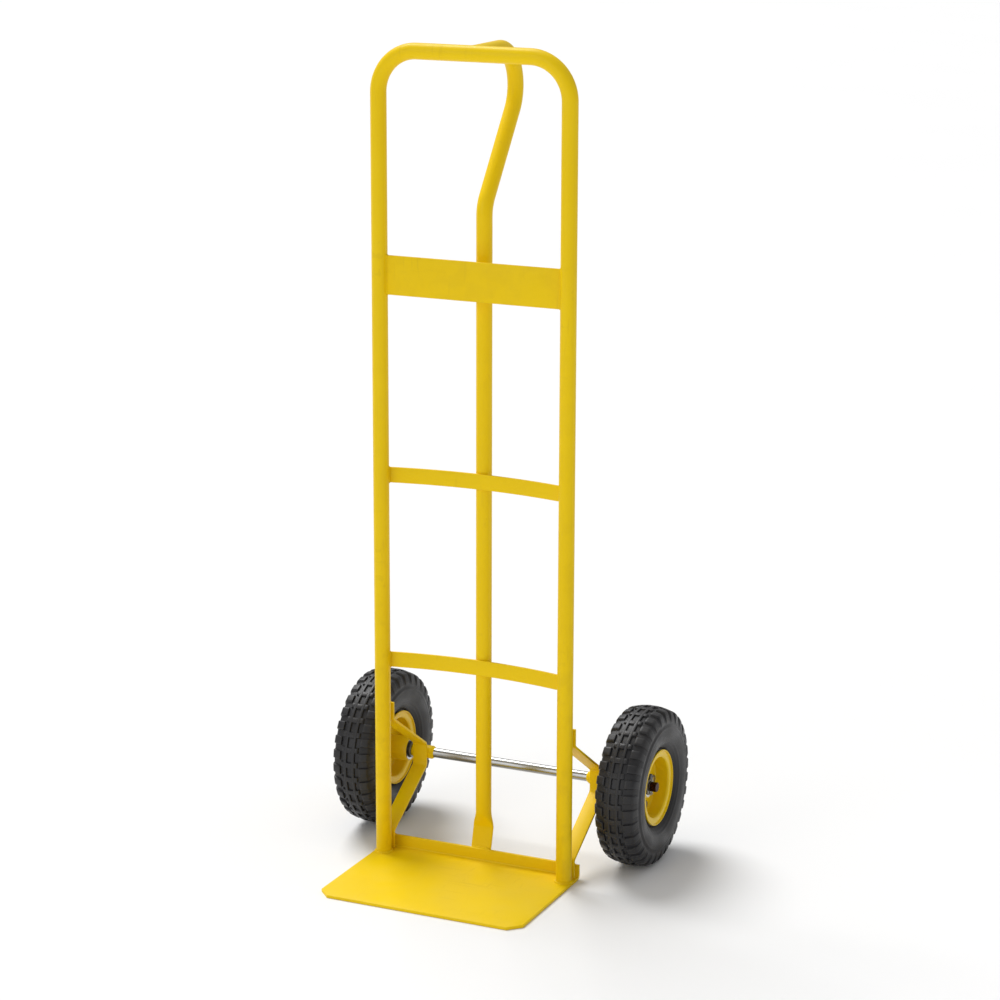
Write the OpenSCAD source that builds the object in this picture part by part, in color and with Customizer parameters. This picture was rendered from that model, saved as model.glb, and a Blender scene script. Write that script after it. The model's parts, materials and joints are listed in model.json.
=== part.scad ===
// Hand truck with a looped tube frame, a rear handle tube and two pneumatic wheels.
// Millimetres. +X is to the right seen from the front, +Y to the back, +Z up.
// The origin is on the floor, under the middle of the overall box.

/* [Frame] */
// Outside diameter of the frame and handle tubes
tube_od = 25.4; // [21:0.1:31]
// Wall of the frame and handle tubes
tube_wall = 2; // [1.2:0.1:3]
// Distance between the centrelines of the two uprights
rail_spacing = 320; // [260:1:420]
// Height from the floor to the top of the grip bar
frame_height = 1320; // [1080:1:1600]
// Centreline radius of the two top corners
corner_r = 65; // [40:1:100]

/* [Handle tube] */
// Centreline of the upright part behind the centreline of the rails
spine_back = 42; // [36:0.5:55]
// Drop from the grip bar's centreline to the kink where the tube slopes back
kink_drop = 236.3; // [210:0.1:300]
// Slope of the upper part, from the vertical
handle_slope = 36.6; // [25:0.1:40]
// Centreline radius of the bend at the kink
kink_r = 50; // [40:1:100]
// Centreline radius of the bend that turns forward at the top
hook_r = 62; // [45:1:75]
// Width of the flattened foot
foot_w = 35; // [28:0.5:38]
// Height at which the round tube starts to flatten
foot_top = 84; // [75:1:100]

/* [Crosspieces] */
// Height of the wide top plate
plate_h = 62; // [40:1:90]
// Thickness of the wide top plate
plate_t = 4; // [3:0.5:8]
// Drop from the grip bar's centreline to the top edge of the plate
plate_drop = 316.4; // [280:0.1:360]
// Height of the two bowed crossbars
bar_h = 25; // [20:1:40]
// Thickness of the two bowed crossbars
bar_t = 4; // [3:0.5:8]
// Height of the top edge of the lower crossbar
lower_bar_top = 344; // [300:1:380]
// Height of the top edge of the upper crossbar
upper_bar_top = 650; // [560:1:680]
// Distance of the crossbars' ends behind the centreline of the rails
bar_end_back = 8; // [4:0.5:10]

/* [Toe plate] */
// Reach of the toe plate in front of the centreline of the rails
toe_reach = 210; // [160:1:300]
// Overhang of the toe plate past the centreline of each rail
toe_overhang = 15; // [13:0.5:60]
// Thickness of the toe plate
toe_t = 5; // [4:0.5:8]
// Height of the lip at the back of the toe plate
lip_h = 25; // [20:0.5:40]
// Rear face of the lip behind the centreline of the rails
lip_back = 31; // [27:0.5:34]
// Size of the cut front corners
toe_corner = 20; // [5:1:50]
// Inside radius of the bend between toe plate and lip
toe_bend_r = 3; // [2:0.5:8]

/* [Axle brackets] */
// Width of the bent strip
strip_w = 25; // [20:1:40]
// Thickness of the bent strip
strip_t = 4; // [3:0.5:6]
// Height of the upright face that the axle boss is welded to
apex_h = 38; // [30:1:60]
// Height of the lower knee
lower_knee = 37; // [34:0.5:45]
// Rise from the axle to the upper knee
knee_rise = 98; // [80:1:130]
// Length of the tab above the upper knee
tab_h = 29; // [20:1:50]
// Centreline radius of the strip's bends
strip_bend_r = 8; // [5:0.5:10]

/* [Axle] */
// Diameter of the axle
axle_d = 16; // [13:0.1:19.5]
// Axle behind the centreline of the rails
axle_back = 148; // [140:1:190]
// Wall of the axle bosses
boss_wall = 2.95; // [2:0.05:5]
// Length of the axle bosses
boss_len = 36; // [28:1:50]
// Length of the spacers between bosses and wheels
spacer_len = 3.3; // [2.5:0.1:60]
// Wall of the spacers
spacer_wall = 2.45; // [1.5:0.05:2.8]
// Outside diameter of the washers
washer_od = 28; // [25:0.5:30]
// Thickness of the washers
washer_t = 2; // [1.5:0.1:3]
// Diameter of the split pins
pin_d = 3.6; // [3:0.1:5]
// Length of axle past each outer washer
axle_tip = 11.6; // [8:0.1:25]

/* [Wheels] */
// Outside diameter of the tyres
tyre_od = 260; // [250:1:330]
// Width of the tyres
tyre_w = 76; // [70:1:86]
// Diameter of the bead seats on the rim
seat_d = 101.6; // [96:0.1:106]
// Height of the rim flanges over the bead seats
flange_h = 11.2; // [8:0.1:14]
// Width of the rim over its flanges
rim_w = 54; // [48:0.5:58]
// Sheet thickness of the rim halves
rim_t = 2; // [1.5:0.1:3]
// Hub length on the inner side of the wheel's middle plane
hub_in = 50; // [30:0.5:60]
// Hub length on the outer side of the wheel's middle plane
hub_out = 12; // [8:0.5:20]
// Wall of the hub round the bearings
hub_wall = 2.5; // [2:0.1:5]
// Number of bolts that hold the rim halves together
bolt_count = 4; // [3:1:6]
// Pitch circle of the rim bolts
bolt_pcd = 66; // [62:1:72]

/* [Bearings] */
// Outside diameter of the ball bearings
bearing_od = 35; // [29:0.5:42]
// Width of the ball bearings
bearing_w = 11; // [10:0.5:14]
// Diameter of the balls
ball_d = 6; // [5:0.1:6.5]
// Number of balls in each bearing
ball_count = 8; // [6:1:10]

/* [Hidden] */
$fn = 96;
wire_fn = 32;          // facets round split pin wire
small_fn = 48;         // facets round balls, bolts and stems
large_fn = 360;        // facets round the widest arcs
sheet_step = 9;        // degrees between points round a sheet's bend
bend_step = 7.5;       // degrees between rings round a tube's bend
past = 1;              // cuts and joined ends run this far past a face
run_gap = 0.05;        // radial gap of a shaft in its hole
press_gap = 0.01;      // radial gap of a ring pressed into its seat

tube_sides = 24;       // sides of the handle tube's section
foot_steps = 5;        // rings between the round tube and its flattened foot
foot_square = 0.5;     // squareness of the flattened section: 1 is an ellipse, 0 a rectangle
foot_flat_top = 58;    // height where the foot is fully flat
foot_clear = 3;        // foot above the floor
foot_gap = 1;          // gap left between the pressed walls of the foot
foot_t = 2 * tube_wall + foot_gap;

pin_gap = 0.3;         // split pin from the outer washer
pin_reach = 5;         // split pin past the axle on each side
pin_splay = 35;        // spread of each of its legs
leg_root = 2;          // length of leg hidden in the pin's body
leg_bend = 3;          // place of the bend above the pin's lowest reach
eye_r = 3;             // eye of the split pin

groove_depth = 1.25;   // depth of the ball grooves in the rings
ball_gap = 0.08;       // gap between a ball and its groove
cage_t = 2;            // thickness of the cages
cage_rim = 0.8;        // cage past the balls on each side
ring_proud = 0.4;      // inner rings stand past the outer rings by this much
shield_t = 0.6;        // thickness of the shields
shield_in = 0.5;       // shields sit this far inside the bearing faces
shield_seat = 0.5;     // depth of the shields' grooves in the outer rings
shield_gap = 0.3;      // gap between shields and inner rings
hub_shoulder = 2.5;    // step in the hub that the bearings sit against

lip_len = 3;           // turned-out edge of the flange
lip_bend_r = 1.8;      // centreline bend radius of the turned-out edge
disc_bend_r = 5;       // centreline bend radius between disc and bead seat
flange_bend_r = 3;     // centreline bend radius between bead seat and flange
bolt_d = 8;            // rim bolts
bolt_head_h = 5.3;     // height of their heads
bolt_af = 13;          // heads and nuts across flats
nut_h = 6.5;           // height of the nuts
bolt_spare = 2;        // thread showing past the nut
bolt_hole_gap = 0.3;   // radial gap of bolts and stem in the rim's holes

side_t = 7;            // tyre sidewall
crown_t = 11;          // tyre crown with its tread
bead_w = 9;            // tyre bead
bead_gap = 0.5;        // gap between bead and flange
bead_bevel = 2;        // bevel of the bead in the corner between seat and flange
tread_w = 60;          // width of the tread band
crown_r = 90;          // radius of the crown across the tread
tube_fit = 0.4;        // gap between tyre casing and inner tube
inner_tube_t = 2;      // wall of the inner tube

stem_d = 8;            // valve stem
stem_x = 11;           // valve stem from the middle plane
stem_root = 8;         // valve stem inside the inner tube, past the bead seat
stem_r = 38;           // valve stem from the axle after its bend
stem_bend_r = 6;       // centreline bend radius of the stem
stem_out = 22;         // end of the stem from the middle plane
cap_d = 9.6;           // valve cap
cap_len = 8;           // length of the cap
cap_grip = 4;          // length of stem inside the cap
valve_angle = 45;      // from the top of the wheel towards the front

grip_z = frame_height - tube_od / 2;
rail_x = rail_spacing / 2;
axle_z = tyre_od / 2;
axle_hole_r = axle_d / 2 + run_gap;
boss_r = axle_hole_r + boss_wall;
spacer_r = axle_hole_r + spacer_wall;
hub_r = bearing_od / 2 + hub_wall;
pitch_r = (axle_d + bearing_od) / 4;
race_in_r = pitch_r - ball_d / 2 + groove_depth;
race_out_r = pitch_r + ball_d / 2 - groove_depth;
half_track = rail_x + boss_len / 2 + washer_t + spacer_len + ring_proud + hub_in;
wheel_washer_x = half_track + hub_out + ring_proud;
axle_half = wheel_washer_x + washer_t + axle_tip;
pin_x = wheel_washer_x + washer_t + pin_d / 2 + pin_gap;
apex_back = axle_back - boss_r - strip_t / 2;
seat_r = seat_d / 2;
rim_r = seat_r + flange_h;
cavity_r = tyre_w / 2 - side_t;
cavity_at = axle_z - crown_t - cavity_r;
shields_at = [shield_in, bearing_w - shield_in - shield_t];
frame_y = -(axle_back + axle_z - toe_reach) / 2;

yellow = [0.93, 0.76, 0.10];
steel = [0.76, 0.77, 0.78];
black = [0.14, 0.14, 0.14];
brass = [0.80, 0.68, 0.36];

// ---- paths: a heading is measured from the second axis towards the first ----
function heading(pts, i) = atan2(pts[i + 1][0] - pts[i][0], pts[i + 1][1] - pts[i][1]);
function turn(pts, i) =
    i < 0 || i > len(pts) - 3 ? 0 : heading(pts, i + 1) - heading(pts, i);
function tangent(pts, radii, i) =
    i < 0 || i > len(pts) - 3 ? 0 : radii[i] * tan(abs(turn(pts, i)) / 2);
// Straight length, turn and bend radius for each stretch of a line of points
function steps(pts, radii) = [
    for (i = [0 : len(pts) - 2])
        [norm(pts[i + 1] - pts[i]) - tangent(pts, radii, i - 1) - tangent(pts, radii, i),
         turn(pts, i), i > len(pts) - 3 ? 0 : radii[i]]
];

// Runs a flat section along straight lengths and bends
module swept(run, i = 0) {
    if (i < len(run)) {
        straight = run[i][0];
        flip = run[i][1] < 0 ? 180 : 0;
        angle = abs(run[i][1]);
        r = run[i][2];
        linear_extrude(straight) children();
        translate([0, 0, straight]) rotate([0, 0, flip]) {
            if (angle > 0)
                translate([r, 0, 0]) rotate([90, 0, 180])
                    rotate_extrude(angle = angle) translate([r, 0]) children();
            translate([r, 0, 0]) rotate([0, angle, 0]) translate([-r, 0, 0])
                rotate([0, 0, flip]) swept(run, i + 1) children();
        }
    }
}

// Runs a section along points in the XZ plane
module along(pts, radii) {
    translate([pts[0][0], 0, pts[0][1]]) rotate([0, heading(pts, 0), 0])
        swept(steps(pts, radii)) children();
}

// Stations [first axis, second axis, heading] round an arc that starts at p
function arc_run(p, h0, h1, r, step) =
    let (way = h1 > h0 ? 1 : -1, n = ceil(abs(h1 - h0) / step),
         centre = p + way * r * [cos(h0), -sin(h0)])
    [for (i = [0 : n]) let (h = h0 + (h1 - h0) * i / n)
        concat(centre - way * r * [cos(h), -sin(h)], h)];

// Stations along a line of points whose corners are rounded
function route(pts, radii, step) = [
    for (i = [0 : len(pts) - 1]) each
        i == 0 ? [concat(pts[0], heading(pts, 0))] :
        i == len(pts) - 1 ? [concat(pts[i], heading(pts, i - 1))] :
        let (h = heading(pts, i - 1))
            arc_run(pts[i] - tangent(pts, radii, i - 1) * [sin(h), cos(h)],
                    h, heading(pts, i), radii[i - 1], step)
];

function beside(station, distance) =
    [station[0] + distance * cos(station[2]), station[1] - distance * sin(station[2])];

// Outline of a bent sheet of thickness t
module sheet_along(pts, radii, t) {
    line = route(pts, radii, sheet_step);
    last = len(line) - 1;
    polygon(concat([for (station = line) beside(station, -t / 2)],
                   [for (i = [0 : last]) beside(line[last - i], t / 2)]));
}

// Rounded section of a tube, from round (flat = 0) to fully flattened (flat = 1)
function signed_power(value, power) = sign(value) * pow(abs(value), power);
function tube_ring(flat, inset) =
    let (w = mix(tube_od, foot_w, flat) / 2 - inset, t = mix(tube_od, foot_t, flat) / 2 - inset,
         power = mix(1, foot_square, flat))
    [for (i = [0 : tube_sides - 1]) let (a = 360 * (i + 0.5) / tube_sides)
        [w * signed_power(cos(a), power), t * signed_power(sin(a), power)]];

// A section's points at a station [y, z, heading, flat], across the tube's own direction
function ring_at(station, inset) = [
    for (q = tube_ring(station[3], inset))
        [q[0], station[0] + q[1] * cos(station[2]), station[1] - q[1] * sin(station[2])]
];

// Closed skin of a hollow tube: the outer rings, then the inner rings, joined at both ends
module tube_along(line) {
    n = tube_sides;
    rings = len(line);
    far = n * rings;
    last = n * (rings - 1);
    skin = [for (k = [0 : rings - 2], i = [0 : n - 1]) let (j = (i + 1) % n)
        [n * k + i, n * k + j, n * k + n + j, n * k + n + i]];
    rim = [for (i = [0 : n - 1]) let (j = (i + 1) % n) [i, j, far + j, far + i]];
    polyhedron(
        points = concat([for (station = line) each ring_at(station, 0)],
                        [for (station = line) each ring_at(station, tube_wall)]),
        faces = concat([for (f = skin) [f[3], f[2], f[1], f[0]]],
                       [for (f = skin) [for (v = f) far + v]],
                       rim, [for (f = rim) [f[3] + last, f[2] + last, f[1] + last, f[0] + last]]),
        convexity = 8);
}

function mix(a, b, share) = a + (b - a) * share;
function ease(share) = share * share * (3 - 2 * share);

module tube_section() {
    difference() {
        circle(d = tube_od);
        circle(d = tube_od - 2 * tube_wall);
    }
}

// Puts a shape drawn from the rails' centreline into the part's frame
module placed() {
    translate([0, frame_y, 0]) children();
}

// side is 1 for the right and -1 for the left; shapes are drawn for the right
module on_side(side) {
    placed() mirror([side < 0 ? 1 : 0, 0, 0]) children();
}

// Along the axle: the shape's own Z becomes the outward direction
module on_axle(side, x = 0) {
    on_side(side) translate([x, axle_back, axle_z]) rotate([0, 90, 0]) children();
}

// Ring between two radii, from one place on the axle to another
module ring(r_in, r_out, from, to) {
    translate([0, 0, from]) linear_extrude(to - from) difference() {
        circle(r = r_out);
        circle(r = r_in);
    }
}

// The uprights' outside, to fit crosspieces against
module rail_space() {
    for (side = [-1, 1]) translate([side * rail_x, 0, 0])
        cylinder(d = tube_od, h = frame_height - corner_r);
}

// Places of a wheel's two bearings: the outer face of each and the way it faces
module at_bearings() {
    translate([0, 0, hub_out]) mirror([0, 0, 1]) children();
    translate([0, 0, -hub_in]) children();
}

// ---- frame ----
module side_frame() {
    color(yellow) placed()
        along([[-rail_x, toe_t], [-rail_x, grip_z], [rail_x, grip_z], [rail_x, toe_t]],
              [corner_r, corner_r]) tube_section();
}

module handle_tube() {
    foot_back = lip_back + foot_t / 2;
    hook_back = spine_back + kink_drop * tan(handle_slope);
    foot_slope = atan2(spine_back - foot_back, foot_flat_top - lip_h);
    foot = [
        [foot_back, foot_clear, 0, 1],
        [foot_back, lip_h, foot_slope / 2, 1],
        for (i = [0 : foot_steps]) let (share = i / foot_steps)
            [spine_back, mix(foot_flat_top, foot_top, share), 0, 1 - ease(share)]
    ];
    upper = route([[spine_back, foot_top], [spine_back, grip_z - kink_drop],
                   [hook_back, grip_z], [0, grip_z]], [kink_r, hook_r], bend_step);
    color(yellow) placed() difference() {
        tube_along(concat(foot, [for (i = [1 : len(upper) - 1]) concat(upper[i], 0)]));
        translate([-tube_od, 0, grip_z]) rotate([0, 90, 0])
            cylinder(d = tube_od, h = 2 * tube_od);
    }
}

module top_plate() {
    color(yellow) placed() difference() {
        translate([-rail_x, -plate_t / 2, grip_z - plate_drop - plate_h])
            cube([rail_spacing, plate_t, plate_h]);
        rail_space();
    }
}

// Flat bar bowed back to the handle tube
module crossbar(top) {
    middle = spine_back - tube_od / 2 - bar_t / 2;
    bow = middle - bar_end_back;
    r = (rail_x * rail_x + bow * bow) / (2 * bow);
    half_angle = asin(rail_x / r);
    color(yellow) placed() difference() {
        translate([0, middle - r, top - bar_h]) rotate(90 - half_angle)
            rotate_extrude(angle = 2 * half_angle, $fn = large_fn)
                translate([r - bar_t / 2, 0]) square([bar_t, bar_h]);
        rail_space();
    }
}

module toe_plate() {
    half_w = rail_x + toe_overhang;
    lip_mid = lip_back - toe_t / 2;
    color(yellow) placed() difference() {
        translate([-half_w, 0, 0]) rotate([90, 0, 90]) linear_extrude(2 * half_w)
            sheet_along([[-toe_reach, toe_t / 2], [lip_mid, toe_t / 2], [lip_mid, lip_h]],
                        [toe_bend_r + toe_t / 2], toe_t);
        for (side = [-1, 1]) translate([side * half_w, -toe_reach, toe_t / 2]) rotate(45)
            cube([toe_corner * sqrt(2), toe_corner * sqrt(2), toe_t + 2 * past], center = true);
    }
}

module axle_bracket(side) {
    foot_y = lip_back - toe_t - strip_t / 2;
    top_y = tube_od / 2 + strip_t / 2;
    color(yellow) on_side(side) translate([rail_x - strip_w / 2, 0, 0]) rotate([90, 0, 90])
        linear_extrude(strip_w)
            sheet_along([[foot_y, toe_t + toe_bend_r], [foot_y, lower_knee],
                         [apex_back, axle_z - apex_h / 2], [apex_back, axle_z + apex_h / 2],
                         [top_y, axle_z + knee_rise], [top_y, axle_z + knee_rise + tab_h]],
                        [for (i = [1 : 4]) strip_bend_r], strip_t);
}

module axle_boss(side) {
    color(yellow) on_axle(side, rail_x)
        ring(axle_hole_r, boss_r, -boss_len / 2, boss_len / 2);
}

// ---- axle and what sits on it ----
module axle() {
    color(steel) placed() translate([0, axle_back, axle_z]) difference() {
        rotate([0, 90, 0]) cylinder(d = axle_d, h = 2 * axle_half, center = true);
        for (side = [-1, 1]) translate([side * pin_x, 0, 0])
            cylinder(d = pin_d + 2 * run_gap, h = 2 * axle_d, center = true, $fn = small_fn);
    }
}

module inner_washer(side) {
    color(steel) on_axle(side, rail_x + boss_len / 2)
        ring(axle_hole_r, washer_od / 2, 0, washer_t);
}

module spacer(side) {
    color(steel) on_axle(side, rail_x + boss_len / 2 + washer_t)
        ring(axle_hole_r, spacer_r, 0, spacer_len);
}

module outer_washer(side) {
    color(steel) on_axle(side, wheel_washer_x)
        ring(axle_hole_r, washer_od / 2, 0, washer_t);
}

module split_pin(side) {
    reach = axle_d / 2 + pin_reach;
    wire_r = pin_d / 4;
    color(steel) on_side(side) translate([pin_x, axle_back, axle_z]) {
        translate([0, 0, -reach + leg_root])
            cylinder(d = pin_d, h = 2 * reach - leg_root + past, $fn = small_fn);
        translate([0, 0, reach + eye_r]) rotate([0, 90, 0])
            rotate_extrude() translate([eye_r, 0]) circle(r = wire_r, $fn = wire_fn);
        for (way = [-1, 1]) translate([0, way * wire_r, -reach + leg_bend])
            rotate([180 + way * pin_splay, 0, 0]) cylinder(r = wire_r, h = pin_reach, $fn = wire_fn);
    }
}

// ---- bearings ----
module ball_track(extra) {
    translate([0, 0, bearing_w / 2]) rotate_extrude()
        translate([pitch_r, 0]) circle(r = ball_d / 2 + extra, $fn = small_fn);
}

module bearing_inner_rings(side) {
    color(steel) on_axle(side, half_track) at_bearings() difference() {
        ring(axle_hole_r, race_in_r, -ring_proud, bearing_w + ring_proud);
        ball_track(ball_gap);
    }
}

module bearing_outer_rings(side) {
    color(steel) on_axle(side, half_track) at_bearings() difference() {
        ring(race_out_r, bearing_od / 2 - press_gap, 0, bearing_w);
        ball_track(ball_gap);
        for (z = shields_at) ring(race_in_r, race_out_r + shield_seat, z, z + shield_t);
    }
}

module bearing_shields(side) {
    color(black) on_axle(side, half_track) at_bearings()
        for (z = shields_at)
            ring(race_in_r + shield_gap, race_out_r + shield_seat - press_gap, z, z + shield_t);
}

module bearing_balls(side) {
    color(steel) on_axle(side, half_track) at_bearings()
        for (i = [0 : ball_count - 1]) rotate(i * 360 / ball_count)
            translate([pitch_r, 0, bearing_w / 2]) sphere(d = ball_d, $fn = small_fn);
}

module bearing_cages(side) {
    half_w = ball_d / 2 + cage_rim;
    color(brass) on_axle(side, half_track) at_bearings() difference() {
        ring(pitch_r - cage_t / 2, pitch_r + cage_t / 2, bearing_w / 2 - half_w, bearing_w / 2 + half_w);
        for (i = [0 : ball_count - 1]) rotate(i * 360 / ball_count)
            translate([0, 0, bearing_w / 2]) rotate([0, 90, 0])
                cylinder(r = ball_d / 2 + ball_gap, h = bearing_od / 2, $fn = small_fn);
    }
}

// ---- wheels ----
module hub(side) {
    color(yellow) on_axle(side, half_track) difference() {
        ring(bearing_od / 2 - hub_shoulder, hub_r, -hub_in, hub_out);
        at_bearings() translate([0, 0, -past]) cylinder(d = bearing_od, h = bearing_w + past);
    }
}

// One pressed half of the rim: disc, bead seat and rolled flange
module rim_half() {
    disc_in = hub_r + run_gap;
    wall_r = seat_r - rim_t / 2;
    flange_z = rim_w / 2 - rim_t / 2;
    lip_in = rim_r - rim_t / 2;
    rotate_extrude()
        sheet_along([[disc_in, rim_t / 2], [wall_r, rim_t / 2], [wall_r, flange_z],
                     [lip_in, flange_z], [lip_in, flange_z + lip_len]],
                    [disc_bend_r, flange_bend_r, lip_bend_r], rim_t);
}

module at_bolts() {
    for (i = [0 : bolt_count - 1]) rotate(i * 360 / bolt_count)
        translate([bolt_pcd / 2, 0, 0]) children();
}

module bolt_holes() {
    at_bolts() cylinder(d = bolt_d + 2 * bolt_hole_gap, h = 4 * rim_t, center = true);
}

module outer_rim(side) {
    color(yellow) on_axle(side, half_track) difference() {
        rim_half();
        bolt_holes();
        rotate(180 + valve_angle) translate([0, 0, stem_x]) rotate([0, 90, 0])
            cylinder(d = stem_d + 2 * bolt_hole_gap, h = rim_r);
    }
}

module inner_rim(side) {
    color(yellow) on_axle(side, half_track) difference() {
        mirror([0, 0, 1]) rim_half();
        bolt_holes();
    }
}

module rim_bolts(side) {
    color(steel) on_axle(side, half_track) at_bolts() {
        translate([0, 0, rim_t]) cylinder(d = bolt_af / cos(30), h = bolt_head_h, $fn = 6);
        translate([0, 0, -rim_t - nut_h - bolt_spare])
            cylinder(d = bolt_d, h = 2 * rim_t + nut_h + bolt_spare + past, $fn = small_fn);
    }
}

module rim_nuts(side) {
    color(steel) on_axle(side, half_track) at_bolts() translate([0, 0, -rim_t - nut_h])
        difference() {
            cylinder(d = bolt_af / cos(30), h = nut_h, $fn = 6);
            translate([0, 0, -past])
                cylinder(d = bolt_d + 2 * run_gap, h = nut_h + 2 * past, $fn = small_fn);
        }
}

module tyre(side) {
    bead_out = rim_w / 2 - rim_t - bead_gap;
    color(black) on_axle(side, half_track) rotate_extrude() difference() {
        union() {
            translate([axle_z - tyre_w / 2, 0]) circle(d = tyre_w);
            intersection() {
                translate([cavity_at, -tread_w / 2]) square([axle_z, tread_w]);
                translate([axle_z - crown_r, 0]) circle(r = crown_r, $fn = large_fn);
            }
            translate([seat_r - bead_w / 2, -bead_out - past])
                square([cavity_at - seat_r + bead_w / 2, 2 * (bead_out + past)]);
        }
        translate([cavity_at, 0]) circle(r = cavity_r);
        translate([0, bead_w - bead_out]) square([cavity_at, 2 * (bead_out - bead_w)]);
        square([2 * (seat_r + run_gap), 2 * tyre_w], center = true);
        for (way = [-1, 1]) {
            translate([0, way * (tyre_w / 2 + bead_out)])
                square([2 * (rim_r + bead_gap), tyre_w], center = true);
            translate([seat_r, way * bead_out]) rotate(45)
                square(bead_bevel * sqrt(2), center = true);
        }
    }
}

module inner_tube(side) {
    color(black) on_axle(side, half_track) difference() {
        rotate_extrude() translate([cavity_at, 0]) difference() {
            circle(r = cavity_r - tube_fit);
            circle(r = cavity_r - tube_fit - inner_tube_t);
        }
        rotate(180 + valve_angle) translate([0, 0, stem_x]) rotate([0, 90, 0])
            cylinder(d = stem_d + 2 * run_gap, h = cavity_at, $fn = small_fn);
    }
}

module valve_stem(side) {
    color(brass) on_axle(side, half_track) rotate(180 + valve_angle) rotate(180, [1, 0, 1])
        along([[stem_x, seat_r + stem_root], [stem_x, stem_r], [stem_out, stem_r]], [stem_bend_r])
            circle(d = stem_d, $fn = small_fn);
}

module valve_cap(side) {
    color(black) on_axle(side, half_track) rotate(180 + valve_angle)
        translate([stem_r, 0, stem_out - cap_grip]) difference() {
            cylinder(d = cap_d, h = cap_len, $fn = small_fn);
            translate([0, 0, -past])
                cylinder(d = stem_d + 2 * run_gap, h = cap_grip + past, $fn = small_fn);
        }
}

side_frame();
handle_tube();
top_plate();
crossbar(upper_bar_top);  // upper_crossbar
crossbar(lower_bar_top);  // lower_crossbar
toe_plate();
axle_bracket(-1);  // left_axle_bracket
axle_bracket(1);  // right_axle_bracket
axle_boss(-1);  // left_axle_boss
axle_boss(1);  // right_axle_boss
axle();
spacer(-1);  // left_spacer
spacer(1);  // right_spacer
inner_washer(-1);  // left_inner_washer
inner_washer(1);  // right_inner_washer
outer_washer(-1);  // left_outer_washer
outer_washer(1);  // right_outer_washer
split_pin(-1);  // left_split_pin
split_pin(1);  // right_split_pin
bearing_inner_rings(-1);  // left_bearing_inner_rings
bearing_inner_rings(1);  // right_bearing_inner_rings
bearing_balls(-1);  // left_bearing_balls
bearing_balls(1);  // right_bearing_balls
bearing_cages(-1);  // left_bearing_cages
bearing_cages(1);  // right_bearing_cages
bearing_outer_rings(-1);  // left_bearing_outer_rings
bearing_outer_rings(1);  // right_bearing_outer_rings
bearing_shields(-1);  // left_bearing_shields
bearing_shields(1);  // right_bearing_shields
hub(-1);  // left_hub
hub(1);  // right_hub
inner_rim(-1);  // left_inner_rim
inner_rim(1);  // right_inner_rim
outer_rim(-1);  // left_outer_rim
outer_rim(1);  // right_outer_rim
rim_bolts(-1);  // left_rim_bolts
rim_bolts(1);  // right_rim_bolts
rim_nuts(-1);  // left_rim_nuts
rim_nuts(1);  // right_rim_nuts
tyre(-1);  // left_tyre
tyre(1);  // right_tyre
inner_tube(-1);  // left_inner_tube
inner_tube(1);  // right_inner_tube
valve_stem(-1);  // left_valve_stem
valve_stem(1);  // right_valve_stem
valve_cap(-1);  // left_valve_cap
valve_cap(1);  // right_valve_cap
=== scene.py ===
# Hand truck with a looped tube frame and two pneumatic wheels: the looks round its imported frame.
# Metres, +X right, +Y back, +Z up. A wheel's own numbers run outward along the axle and out from it.
import json
import math

import bmesh
import bpy
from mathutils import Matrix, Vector


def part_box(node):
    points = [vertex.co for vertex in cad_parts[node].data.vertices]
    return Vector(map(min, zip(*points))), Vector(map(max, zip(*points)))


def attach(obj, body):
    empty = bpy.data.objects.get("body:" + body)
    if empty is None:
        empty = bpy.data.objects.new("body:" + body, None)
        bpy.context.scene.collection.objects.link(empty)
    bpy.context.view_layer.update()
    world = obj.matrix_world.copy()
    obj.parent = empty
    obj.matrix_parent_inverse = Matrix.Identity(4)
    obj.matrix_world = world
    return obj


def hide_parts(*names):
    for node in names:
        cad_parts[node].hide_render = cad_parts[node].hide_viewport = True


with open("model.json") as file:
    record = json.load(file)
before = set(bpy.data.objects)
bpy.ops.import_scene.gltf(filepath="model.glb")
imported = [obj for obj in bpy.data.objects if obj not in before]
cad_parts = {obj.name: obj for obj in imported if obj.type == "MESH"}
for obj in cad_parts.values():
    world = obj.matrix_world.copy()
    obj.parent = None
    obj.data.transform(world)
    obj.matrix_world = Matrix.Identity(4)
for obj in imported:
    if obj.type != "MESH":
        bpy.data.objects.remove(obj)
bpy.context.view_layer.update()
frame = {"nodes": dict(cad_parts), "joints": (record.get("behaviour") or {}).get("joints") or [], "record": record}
mm = 0.001
fullTurn = 2 * math.pi
xAxis, yAxis, zAxis = Vector((1, 0, 0)), Vector((0, 1, 0)), Vector((0, 0, 1))
sides = {"left": -1, "right": 1}

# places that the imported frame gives
railLow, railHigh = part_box("side_frame")
tubeR = (railHigh.y - railLow.y) / 2
railX = railHigh.x - tubeR
railY = (railHigh.y + railLow.y) / 2
gripZ = railHigh.z - tubeR
toeLow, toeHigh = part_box("toe_plate")
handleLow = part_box("handle_tube")[0]
wheelCentre = {joint["name"].split("_")[0]: Vector(joint["pos_m"])
               for joint in frame["joints"] if "wheel" in joint["name"]}
axleAt = Vector((0, wheelCentre["right"].y, wheelCentre["right"].z))
print("frame loaded")


# a shader node group with named numbers going in and coming out
def newGroup(name, inputs, outputs):
    group = bpy.data.node_groups.new(name, "ShaderNodeTree")
    for socketName, value in inputs.items():
        socket = group.interface.new_socket(socketName, in_out="INPUT", socket_type="NodeSocketFloat")
        socket.default_value = value
    for socketName in outputs:
        group.interface.new_socket(socketName, in_out="OUTPUT", socket_type="NodeSocketFloat")
    return group, group.nodes.new("NodeGroupInput"), group.nodes.new("NodeGroupOutput")


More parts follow.
